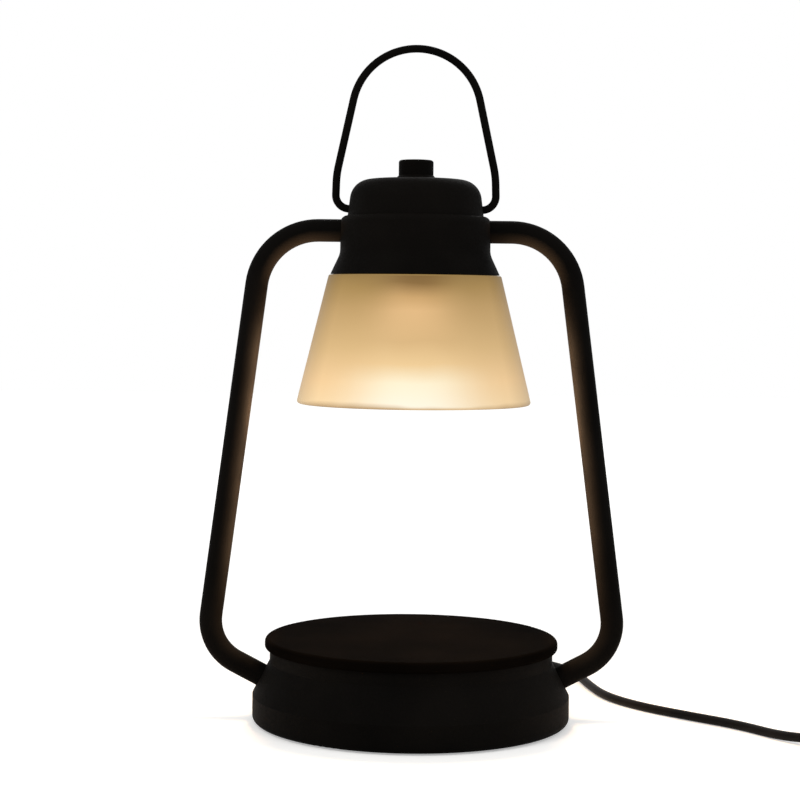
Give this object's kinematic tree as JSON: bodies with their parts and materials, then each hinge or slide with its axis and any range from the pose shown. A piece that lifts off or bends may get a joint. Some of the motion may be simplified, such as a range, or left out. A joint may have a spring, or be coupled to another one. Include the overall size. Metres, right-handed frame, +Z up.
{
  "type": "candle warmer lamp",
  "caption": "Lantern-style candle warmer lamp: weighted round foot with a tray, bent tube arms, head with a frosted glass shade and spotlight bulb, wire bail, lead with dimmer and plug.",
  "frame": {"origin": "middle of the round foot, on the table", "axes": "+Z up along the lamp's axis, +X to the right along the arms, +Y to the back, where the lead comes out"},
  "size_m": [0.4212, 0.2149, 0.2972],
  "materials": {
    "black_powder_coat": "matt powder coat, fine texture",
    "cast_iron": "raw casting",
    "zinc_steel": "zinc plated",
    "black_rubber": "soft matt",
    "cord_jacket": "satin PVC jacket",
    "wire_sleeve": "heat-proof sleeve",
    "silicone": "translucent silicone",
    "frosted_glass": "acid-frosted, lit from inside",
    "bulb_mirror": "faceted reflector coat",
    "bulb_glass": "clear front glass",
    "bulb_filament": "halogen capsule",
    "ceramic": "unglazed white ceramic",
    "brass": "bright",
    "dark_plastic": "fine spark texture",
    "knob_plastic": "satin",
    "white_plastic": "plain",
    "circuit_board": "solder mask",
    "tie_plastic": "plain"
  },
  "bodies": {
    "frame": {"base_tank": "black_powder_coat", "candle_tray": "black_powder_coat", "left_arm": "black_powder_coat", "right_arm": "black_powder_coat", "head_shell": "black_powder_coat", "dome_cap": "black_powder_coat", "top_knob": "black_powder_coat", "base_weight": "cast_iron", "bottom_cover": "zinc_steel", "centre_bolt": "zinc_steel", "clamp_screws": "zinc_steel", "foot_washers": "zinc_steel", "foot_nuts": "zinc_steel", "arm_saddles": "zinc_steel", "saddle_screws": "zinc_steel", "holder_bracket": "zinc_steel", "holder_screws": "zinc_steel", "tie_rod": "zinc_steel", "rod_nut": "zinc_steel", "carrier_posts": "zinc_steel", "post_screws": "zinc_steel", "shade_carrier": "zinc_steel", "shade_ring": "zinc_steel", "dimmer_screws": "zinc_steel", "foot_ring": "black_rubber", "cord_boot": "black_rubber", "dimmer_boots": "black_rubber", "inlet_lead": "cord_jacket", "power_cord": "cord_jacket", "plug_cord": "cord_jacket", "cord_coil": "cord_jacket", "plug_cord_end": "cord_jacket", "inner_lead": "wire_sleeve", "shade_gasket": "silicone", "glass_shade": "frosted_glass", "lamp_holder": "ceramic", "plug_blades": "brass", "terminal_screws": "brass", "dimmer_base": "dark_plastic", "dimmer_top": "dark_plastic", "plug_body": "dark_plastic", "terminal_block": "white_plastic", "cord_clamp": "white_plastic", "dimmer_control": "white_plastic", "dimmer_board": "circuit_board", "cord_tie": "tie_plastic"},
    "bulb": {"bulb_base": "ceramic", "bulb_pins": "brass", "bulb_reflector": "bulb_mirror", "bulb_lens": "bulb_glass", "bulb_capsule": "bulb_filament"},
    "bail": {"bail_handle": "black_powder_coat", "bail_clips": "zinc_steel"},
    "dimmer_wheel": {"dimmer_knob": "knob_plastic", "dimmer_shaft": "knob_plastic"}
  },
  "joints": [
    {"name": "bail_swing", "type": "hinge", "parent": "frame", "child": "bail", "pos_m": [0, 0, 0.225], "axis": [1, 0, 0], "range_deg": [-125, 125]},
    {"name": "bulb_twist", "type": "hinge", "parent": "frame", "child": "bulb", "pos_m": [0, 0, 0.2115], "axis": [0, 0, 1], "range_deg": [-30, 0]},
    {"name": "dimmer_turn", "type": "hinge", "parent": "frame", "child": "dimmer_wheel", "pos_m": [0.246, -0.058, 0.0203], "axis": [0, 0, 1], "range_deg": [0, 270]}
  ]
}
